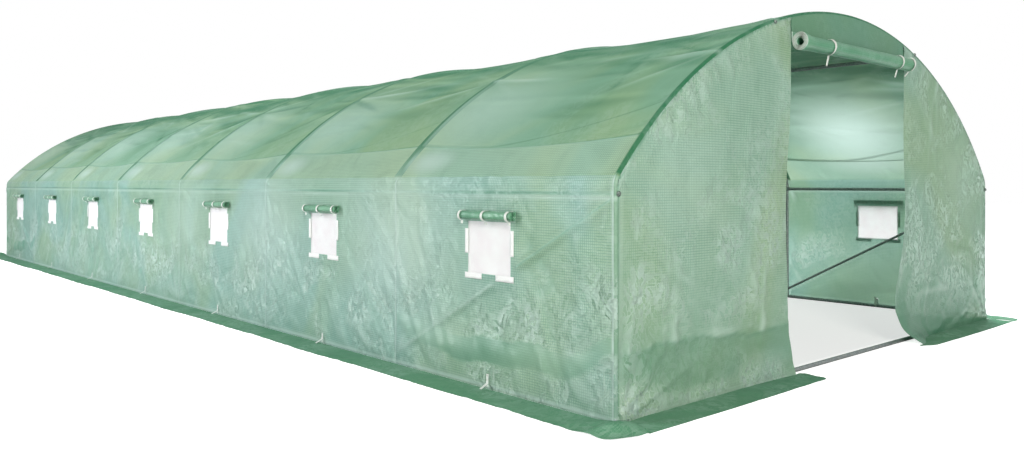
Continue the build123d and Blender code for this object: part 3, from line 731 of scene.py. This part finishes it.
# Painted shade: the skirts take a darker, duller copy of the film, for film lying on the ground
# with no light coming through it.
skirt_film = woven_film("woven_green_film_shaded_on_ground", "#4F8768", "#558D6B", "#2F6B4B", 0.08, 0.5,
                        0.60, shine=0.15)
CORNER = 0.11  # radius of a side skirt's outer corners
outer_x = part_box("right_skirt")[1].x
outer_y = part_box("right_skirt")[1].y
skirt_tip = DOOR_HALF - 0.05
for side, hand in SIDES:
    rng = np.random.default_rng(80 + side)
    y = strips([-outer_y, -end_face, end_face, outer_y], 0.024)[:, None]
    share = np.linspace(0, 1, 14)[None, :]
    round_corner = np.clip(np.abs(y) - (outer_y - CORNER), 0, CORNER)
    edge = outer_x - CORNER + np.sqrt(CORNER ** 2 - round_corner ** 2) - 0.010 * (
        1 + np.sin(3.7 * y + side) * np.sin(1.3 * y))
    start = leg_x + FILM
    across = start + share * (edge - start)
    waves = scattered(y, across, rng, 230, (-6.1, 2.02), (6.1, 2.22), 70, 35, (0.05, 0.16),
                      (0.02, 0.05), (0.002, 0.007))
    waves = np.abs(waves) * unit(share * 4) * (1.1 - 0.4 * share)
    gathered = 0.034 if side < 0 else 0.008
    for end in (-1, 1):
        bunch = near(y, end * (outer_y - 0.10), 0.13) * near(across, 2.08, 0.10)
        waves += gathered * bunch * (1 + 0.6 * np.sin(34 * (y - 0.6 * across)))
    points = together(side * across, y, 0.0008 + np.clip(waves, 0, 0.045))
    hem = 0.5 * near(share * (edge - start), edge - start - 0.008, 0.008)
    marks = marked(across.shape, hem, 0, 0.2, 0.1)
    skirt = surface(f"{hand}_skirt_film", [(points, together(y, across), marks)], [skirt_film],
                    flip=side > 0)
    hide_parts(f"{hand}_skirt")

for end, where in ENDS:
    rng = np.random.default_rng(90 + end)
    grids = []
    for side, lobe in ((-1, 0.03), (1, 0.14)):  # the lobe is the radius of the tip's outer corner
        x = strips([skirt_tip, 2.0], 0.024)[:, None]
        share = np.linspace(0, 1, 11)[None, :]
        round_corner = np.clip(skirt_tip + lobe - x, 0, lobe)
        edge = outer_y - lobe + np.sqrt(lobe ** 2 - round_corner ** 2)
        edge = edge - 0.003 * (1 + np.sin(4.1 * x + end))
        edge = np.maximum(edge, end_face + 0.02 + splay(x, side))
        tucked = end_face - 0.006
        out = tucked + share * (edge - tucked)
        wide = np.broadcast_to(x, out.shape)
        out = out + splay(wide, side) * (1 - share)
        wide = wide + hang(wide, 0, side) * (1 - share)
        waves = scattered(wide, out, rng, 70, (0.60, 6.0), (2.0, 6.22), 20, 40, (0.05, 0.18),
                          (0.02, 0.045), (0.001, 0.005))
        up = 0.001 + np.abs(waves) * unit(share * 4) * (1.2 - share)
        points = together(side * wide, end * out, up)
        points = points if side * end < 0 else points[::-1]
        hem = 0.5 * near(share, 0.95, 0.05)
        grids.append((points, together(wide, out), marked(up.shape, hem, 0, 0.2, 0.1)))
    skirts = surface(f"{where}_skirt_film", grids, [skirt_film])
    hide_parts(f"{where}_skirts")


# ---- Window nets --------------------------------------------------------------------------------
# White insect net, about 1 mm mesh, sewn inside each window with an 8 mm turning.

TURNING = 0.008


def thin_cloth(made, tone, bump, matt):
    """White cloth or tape put on a material: a matt face that lets 0.35 of the light through."""
    face = add(made, "ShaderNodeBsdfPrincipled", {"Base Color": tone, "Normal": bump, **matt})
    glow = add(made, "ShaderNodeBsdfTranslucent", {"Color": tone})
    return add(made, "ShaderNodeMixShader", {0: 0.35, 1: face, 2: glow})


# Knotted net: a hazy white of fine threads, with a little of what is behind seen through it.
net = new_material("knotted_white_net")
flat = add(net, "ShaderNodeUVMap", uv_map="flat")
lines = [add(net, "ShaderNodeTexWave", {"Vector": flat, "Scale": np.pi / (10 * 0.0024)},
             wave_type="BANDS", bands_direction=axis).outputs["Fac"] for axis in "XY"]
thread = add(net, "ShaderNodeMath", {0: lines[0], 1: lines[1]}, operation="MAXIMUM")
place = add(net, "ShaderNodeTexCoord").outputs["Object"]
haze = add(net, "ShaderNodeTexNoise", {"Vector": place, "Scale": 9.0, "Detail": 3.0})
white = add(net, "ShaderNodeValToRGB", {"Fac": haze}, [(0.3, "#FAF3F7"), (0.7, "#FFFDFF")])
bump = add(net, "ShaderNodeBump", {"Height": thread, "Strength": 0.6, "Distance": 0.0006})
cloth = thin_cloth(net, white, bump, {"Roughness": 0.75})
gap = add(net, "ShaderNodeBsdfTransparent")
open_share = add(net, "ShaderNodeMapRange", {0: thread, 1: 0.35, 2: 0.75, 3: 0.12, 4: 0.02})
whole = add(net, "ShaderNodeMixShader", {0: open_share, 1: cloth, 2: gap})
add(net, "ShaderNodeOutputMaterial", {"Surface": whole})

wall_x = leg_x + FILM
for side, hand in SIDES:
    grids = []
    rng = np.random.default_rng(120 + side)
    for middle in middles:
        half = WINDOW_HALF + TURNING
        y = strips([middle - half, middle + half], 0.02)[:, None]
        up = strips([WINDOW_SILL - TURNING, WINDOW_HEAD + TURNING], 0.02)[None, :]
        sag = 0.004 * np.cos((y - middle) * 8) * np.cos((up - 0.695) * 10)
        sag = sag + scattered(y, up, rng, 4, (middle - 0.15, 0.57), (middle + 0.15, 0.82), 60, 50,
                              (0.06, 0.12), (0.02, 0.04), (0.001, 0.002))
        points = together(side * (wall_x - 0.0016 - np.abs(sag)), y, up)
        grids.append((points, together(y, up), marked(sag.shape)))
    nets = surface(f"{hand}_window_net_cloth", grids, [net], flip=side < 0)
    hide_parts(f"{hand}_window_nets")


# ---- Rolled flaps and doors ---------------------------------------------------------------------
# Each window's flap and each end's door is rolled up and hangs by its sewn hem. The rolls are the
# cover's film, seen many layers deep, with a white selvedge along both cut edges.

ROLL_OFFSET = 0.030  # from a roll's centre to the head of its opening
DOOR_WIDTH = 1.30
FLAP_WIDTH = 0.43

rolled_film = woven_film("rolled_green_film", "#548F70", "#5C9874", "#2F6B4B", 0.05, 0.7, 0.28)

# Ribbed tape: a bright white with a fine rib across it and along it, lit softly from behind.
selvedge = new_material("white_selvedge_tape")
place = add(selvedge, "ShaderNodeTexCoord").outputs["Object"]
lines = [add(selvedge, "ShaderNodeTexWave", {"Vector": place, "Scale": np.pi / (10 * 0.002)},
             wave_type="BANDS", bands_direction=axis).outputs["Fac"] for axis in "XZ"]
rib = add(selvedge, "ShaderNodeMath", {0: lines[0], 1: lines[1]}, operation="MULTIPLY")
tape_tone = add(selvedge, "ShaderNodeValToRGB", {"Fac": rib}, [(0.0, "#DDE2DC"), (1.0, "#FBFCFA")])
bump = add(selvedge, "ShaderNodeBump", {"Height": rib, "Strength": 0.5, "Distance": 0.0004})
tape_cloth = thin_cloth(selvedge, tape_tone, bump, {"Roughness": 0.6})
add(selvedge, "ShaderNodeOutputMaterial", {"Surface": tape_cloth})


def rolled(radius, turns, width, hem_top, step, hollow=0.18):
    """A sheet wound in a spiral from its core, up behind the roll to the hem it hangs by.

    In its own frame: width along x, y outwards from the sheet it hangs on, z up. The last
    value is the length of cloth along the spiral."""
    core = hollow * radius
    turn = np.linspace(0, 2 * np.pi * turns, int(28 * turns))
    reach = core + (radius - core) * (turn / turn[-1]) ** 0.7
    angle = turn - turn[-1] + np.pi
    out, up = radius + 0.002 + reach * np.cos(angle), reach * np.sin(angle)
    tail = np.linspace(0, hem_top, 6)[1:]
    out, up = np.append(out, np.full(5, 0.002)), np.append(up, tail)
    run = np.append(0, np.cumsum(np.hypot(np.diff(out), np.diff(up))))
    wide = strips([-width / 2, -width / 2 + 0.008, width / 2 - 0.008, width / 2], step)
    return wide[:, None], out[None, :], up[None, :], run[None, :]


def soften(wide, run, out, up, rng, depth):
    """Dents along a roll, pressed in and a little down."""
    dents = scattered(wide, run % 0.33, rng, 30, (-0.65, 0), (0.65, 0.33), 20, 30, (0.04, 0.15),
                      (0.012, 0.03), (depth / 2, depth))
    return out - np.abs(dents) * 0.6, up + dents * 0.5


for end, where in ENDS:
    rng = np.random.default_rng(150 + end)
    wide, out, up, run = rolled(radius=0.0400, turns=9.5, width=DOOR_WIDTH, hem_top=0.044,
                                step=0.025, hollow=0.4)
    out, up = soften(wide, run, out, up, rng, 0.004)
    flare = 1 + 0.22 * near(wide, -DOOR_WIDTH / 2, 0.10)
    out, up = out * flare, up * flare
    points = together(wide, end * (end_face + 0.001 + np.maximum(out, 0.001)),
                      up + DOOR_HEAD - ROLL_OFFSET)
    pale = 0.9 * (np.abs(wide) > DOOR_WIDTH / 2 - 0.0079)
    marks = marked(out.shape, 0, pale, 0.15, 0.1)
    roll = surface(f"{where}_door_film", [(points, together(wide, run), marks)],
                   [rolled_film, selvedge], flip=end < 0, thickness=0.0016)
    roll.modifiers["thickness"].material_offset_rim = 1
    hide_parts(f"{where}_door_roll")

for side, hand in SIDES:
    grids = []
    rng = np.random.default_rng(170 + side)
    for middle in middles:
        wide, out, up, run = rolled(radius=0.0205, turns=4.2, width=FLAP_WIDTH, hem_top=0.024,
                                    step=0.020)
        out, up = soften(wide, run, out, up, rng, 0.003)
        points = together(side * (wall_x + 0.0015 + np.maximum(out, 0.001)), wide + middle,
                          up + WINDOW_HEAD + ROLL_OFFSET)
        grids.append((points, together(wide, run), marked(out.shape, 0, 0, 0.15)))
    flaps = surface(f"{hand}_window_flap_film", grids, [rolled_film], flip=side < 0,
                    thickness=0.0014)
    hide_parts(f"{hand}_window_rolls")


# ---- Ties and hook-and-loop strips --------------------------------------------------------------
# White woven polyester tape, 18 mm wide, sewn over each roll's hem and tied round the roll with the
# ends left hanging. The strips that close a flap are white hook-and-loop tape.

TAPE = 0.018  # width of the tape
tie_tape = selvedge.copy()
tie_tape.name = "white_woven_tape"


def ribbon(path, sideways, twist=0.0):
    """A tape along a path: points at each side of it, across the given direction."""
    run = np.append(0, np.cumsum(np.linalg.norm(np.diff(path, axis=0), axis=1)))
    across = np.linspace(-TAPE / 2, TAPE / 2, 4)
    swing = twist * np.sin(run / run[-1] * np.pi) * across[:, None]
    points = path[None] + across[:, None, None] * np.asarray(sideways)
    points = points + swing[..., None] * np.array([0, 0, 1.0])
    return points, together(across[:, None], run[None, :]), marked(points.shape[:2])


def tie_path(radius, hem_top, tail, rng):
    """Outwards and up from the sheet: over the hem, down round the roll's front, then hanging."""
    turn = np.radians(np.linspace(75, -87, 16))
    reach = radius + 0.0034
    loop = np.stack([radius + reach * np.cos(turn), reach * np.sin(turn)], 1)
    start = np.array([[0.0045, hem_top], [0.0050, hem_top * 0.85 + radius * 0.15]])
    fall = np.linspace(0, 1, 9)[1:, None]
    swing = rng.uniform(-0.01, 0.01)
    loose = loop[-1] + fall * np.array([swing - 0.25 * radius, -tail - 0.2 * radius])
    return np.concatenate([start, loop, loose])


for end, where in ENDS:
    rng = np.random.default_rng(200 + end)
    grids = []
    for place_x, tail in ((-0.351, 0.05), (0.468, 0.04), (0.624, 0.02)):
        path = tie_path(0.0425, 0.044, tail, rng)
        drift = 0.012 - 0.020 * np.linspace(0, 1, len(path)) ** 2
        points = np.stack([place_x + drift, end * (end_face + 0.001 + path[:, 0]),
                           path[:, 1] + DOOR_HEAD - ROLL_OFFSET], 1)
        grids.append(ribbon(points, (1, 0, 0), 0.3))
    ties = surface(f"{where}_door_tapes", grids, [tie_tape], thickness=0.0009)
    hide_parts(f"{where}_door_ties")

for side, hand in SIDES:
    rng = np.random.default_rng(220 + side)
    grids = []
    for middle in middles:
        for place_y in (-0.189, 0.0, 0.189):
            path = tie_path(0.0225, 0.025, 0.012, rng)
            points = np.stack([side * (wall_x + 0.0015 + path[:, 0]),
                               np.full(len(path), middle + place_y),
                               path[:, 1] + WINDOW_HEAD + ROLL_OFFSET], 1)
            grids.append(ribbon(points, (0, 1, 0)))
    ties = surface(f"{hand}_window_tapes", grids, [tie_tape], thickness=0.0009)
    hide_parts(f"{hand}_window_ties")

# Hook-and-loop pile: a matt, slightly fuzzy white that lets some light through.
hook_tape = new_material("white_hook_and_loop_tape")
place = add(hook_tape, "ShaderNodeTexCoord").outputs["Object"]
pile = add(hook_tape, "ShaderNodeTexNoise", {"Vector": place, "Scale": 500.0})
pile_tone = add(hook_tape, "ShaderNodeValToRGB", {"Fac": pile},
                [(0.3, "#E6E8E6"), (0.7, "#FFFFFF")])
bump = add(hook_tape, "ShaderNodeBump", {"Height": pile, "Strength": 0.6, "Distance": 0.001})
pile_cloth = thin_cloth(hook_tape, pile_tone, bump, {"Roughness": 0.9, "Sheen Weight": 0.3})
add(hook_tape, "ShaderNodeOutputMaterial", {"Surface": pile_cloth})

SIDE_STRIP = (0.028, 0.125)  # width and height, beside the window
SILL_STRIP = (0.140, 0.030)  # below its sill
closures = [(-0.181, 0.725, SIDE_STRIP), (0.181, 0.725, SIDE_STRIP),
            (-0.126, 0.552, SILL_STRIP), (0.126, 0.552, SILL_STRIP)]
for side, hand in SIDES:
    rng = np.random.default_rng(240 + side)
    grids = []
    for middle in middles:
        for place_y, place_z, (wide, tall) in closures:
            y = strips([-wide / 2, wide / 2], 0.009)[:, None]
            up = strips([-tall / 2, tall / 2], 0.009)[None, :]
            lift = 0.0012 + 0.0008 * rng.uniform() * (1 + np.sin(60 * (y + up)))
            points = together(side * (wall_x + lift), y + middle + place_y, up + place_z)
            grids.append((points, together(y, up), marked(lift.shape)))
    strip = surface(f"{hand}_window_closures", grids, [hook_tape], flip=side < 0,
                    thickness=0.0010)
    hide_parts(f"{hand}_window_strips")


# ---- Rail tapes and bolt caps -------------------------------------------------------------------
# A tape in the middle of each bay goes through the film's foot and round the ground rail, with one
# end on the skirt outside and one inside. A domed nut caps each purlin's bolt where it comes
# through an end hoop, and holds the end film's edge down.

for side, hand in SIDES:
    rng = np.random.default_rng(260 + side)
    grids = []
    for middle in middles:
        turn = np.radians(np.linspace(0, 330, 28))
        loop = np.stack([-0.0145 * np.cos(turn), 0.0145 * np.sin(turn)], 1)
        fall = np.linspace(0, 1, 8)[1:, None]
        tail = loop[-1] + fall * np.array([-0.020, 0.075 + rng.uniform(0, 0.02)])
        drop = np.linspace(0, 1, 6)[:, None] * np.array([0.004, -0.045])
        drop = drop + np.array([0.0158, 0.060])
        bend = fall * np.array([0.045, -0.020]) + drop[-1]
        path = np.concatenate([bend[::-1], drop[::-1], loop, tail])
        points = np.stack([side * (leg_x + path[:, 0]),
                           middle + 0.01 * np.sin(np.linspace(0, 3, len(path))),
                           0.0150 + path[:, 1]], 1)
        grids.append(ribbon(points, (0, 1, 0)))
    tapes = surface(f"{hand}_rail_tapes", grids, [tie_tape])

# Zinc-plated, passivated steel: a duller, darker grey than the tubes, with a soft highlight.
passivated = new_material("passivated_steel_nut")
place = add(passivated, "ShaderNodeTexCoord").outputs["Object"]
tarnish = add(passivated, "ShaderNodeTexNoise", {"Vector": place, "Scale": 1 / 0.006})
plating = add(passivated, "ShaderNodeValToRGB", {"Fac": tarnish},
              [(0.35, "#4E5B55"), (0.65, "#7C8882")])
nut = add(passivated, "ShaderNodeBsdfPrincipled",
          {"Base Color": plating, "Metallic": 0.6, "Roughness": 0.48})
add(passivated, "ShaderNodeOutputMaterial", {"Surface": nut})

around = np.linspace(0, 2 * np.pi, 25)[:, None]
dome = np.linspace(0, np.pi / 2, 9)[None, :]
ring = 0.012 * np.sin(dome) ** 0.8
proud = 0.002 + 0.009 * np.cos(dome)
bolts = [(leg_x - 0.004, 0.970),
         (ARCH * np.sin(purlin_angle), arch_z + ARCH * np.cos(purlin_angle))]
caps = []
for end in (-1, 1):
    for side in (-1, 1):
        for centre_x, centre_z in bolts:
            points = together(side * centre_x + ring * np.cos(around), end * (end_face + proud),
                              centre_z + ring * np.sin(around))
            points = points if end > 0 else points[::-1]
            caps.append((points, points[..., [0, 2]], marked(points.shape[:2])))
nuts = surface("purlin_bolt_caps", caps, [passivated])


# ---- Ground, light and camera -------------------------------------------------------------------
# A white studio floor under the tunnel, soft light from the front left, and light through the far
# side that makes the film glow.

# White floor: even and bright, with painted shade inside the tunnel that makes it a little greyer
# there than around it.
ground_white = new_material("white_studio_floor")
place = add(ground_white, "ShaderNodeTexCoord").outputs["Object"]
scaled = add(ground_white, "ShaderNodeVectorMath", {0: place, 1: (1 / 2.0, 1 / 6.0, 0)},
             operation="MULTIPLY")
sized = add(ground_white, "ShaderNodeVectorMath", {0: scaled}, operation="ABSOLUTE")
way = add(ground_white, "ShaderNodeSeparateXYZ", {0: sized}).outputs
reach = add(ground_white, "ShaderNodeMath", {0: way["X"], 1: way["Y"]}, operation="MAXIMUM")
brightness = add(ground_white, "ShaderNodeMapRange", {0: reach, 1: 0.98, 2: 1.02, 3: 0.62, 4: 0.86})
shade = add(ground_white, "ShaderNodeValToRGB", {"Fac": reach},
            [(0.98, "#969696"), (1.0, "#E8E8E8")])
seen = add(ground_white, "ShaderNodeLightPath").outputs["Is Camera Ray"]
matte = add(ground_white, "ShaderNodeBsdfDiffuse", {"Color": shade})
fill = add(ground_white, "ShaderNodeMath", {0: seen, 1: brightness}, operation="MULTIPLY")
lamp = add(ground_white, "ShaderNodeEmission", {"Strength": fill})
both = add(ground_white, "ShaderNodeAddShader", {0: matte, 1: lamp})
add(ground_white, "ShaderNodeOutputMaterial", {"Surface": both})

reaches = np.linspace(-40, 40, 3)
spread_out = together(reaches[:, None], reaches[None], -0.0005)
floor = surface("studio_floor", [(spread_out, np.zeros((3, 3, 2)), marked((3, 3)))],
                [ground_white])

# The white sky is bright to the camera, dimmer in gloss, and dimmer still as light.
world = bpy.data.worlds.new("white_studio")
bpy.context.scene.world = world
world.use_nodes = True
world.node_tree.nodes.clear()
path = add(world, "ShaderNodeLightPath").outputs
mirrored = add(world, "ShaderNodeMapRange", {0: path["Is Glossy Ray"], 3: 0.22, 4: 0.70})
strength = add(world, "ShaderNodeMath", {0: path["Is Camera Ray"], 1: mirrored},
               operation="MAXIMUM")
sky = add(world, "ShaderNodeBackground", {"Strength": strength, "Color": (1, 1, 1, 1)})
add(world, "ShaderNodeOutputWorld", {"Surface": sky})


def softbox(name, place, target, size, power, colour, mirrored=True):
    """A rectangular area light at a place, turned to face a target, mirrored in gloss or not."""
    data = bpy.data.lights.new(name, "AREA")
    data.shape, data.size, data.size_y = "RECTANGLE", *size
    data.energy, data.color = power, linear(colour)[:3]
    light = bpy.data.objects.new(name, data)
    way = np.subtract(target, place)
    light.location, light.visible_glossy = place, mirrored
    light.rotation_euler = (np.arctan2(np.hypot(*way[:2]), -way[2]), 0,
                            np.arctan2(-way[0], way[1]))
    bpy.context.collection.objects.link(light)


softbox("key", (-7, -15, 5.5), (0, -4, 0.8), (4, 4), 1480, "#FFFCF4")
softbox("long_side", (-10, 2.5, 4), (0, 1, 0.8), (2.5, 12), 1560, "#F8FAFF")
softbox("through", (8, 3, 7), (0, -1, 0.5), (5, 12), 1700, "#FFFBEE", mirrored=False)
softbox("far_side", (6.5, -3, 7.0), (1.6, -3.5, 1.4), (2.5, 8), 1150, "#F2F8FF", mirrored=False)

camera_data = bpy.data.cameras.new("camera")
camera_data.lens, camera_data.sensor_width = 30.04, 36
camera_data.shift_x, camera_data.shift_y = -0.0859, -0.0477
camera_data.clip_end = 200
camera = bpy.data.objects.new("camera", camera_data)
camera.location = (-4.588, -8.506, 1.010)
camera.rotation_euler = np.radians([90.35, 0, -44.89])
bpy.context.collection.objects.link(camera)
bpy.context.scene.camera = camera
bpy.context.scene.view_settings.view_transform = "Standard"
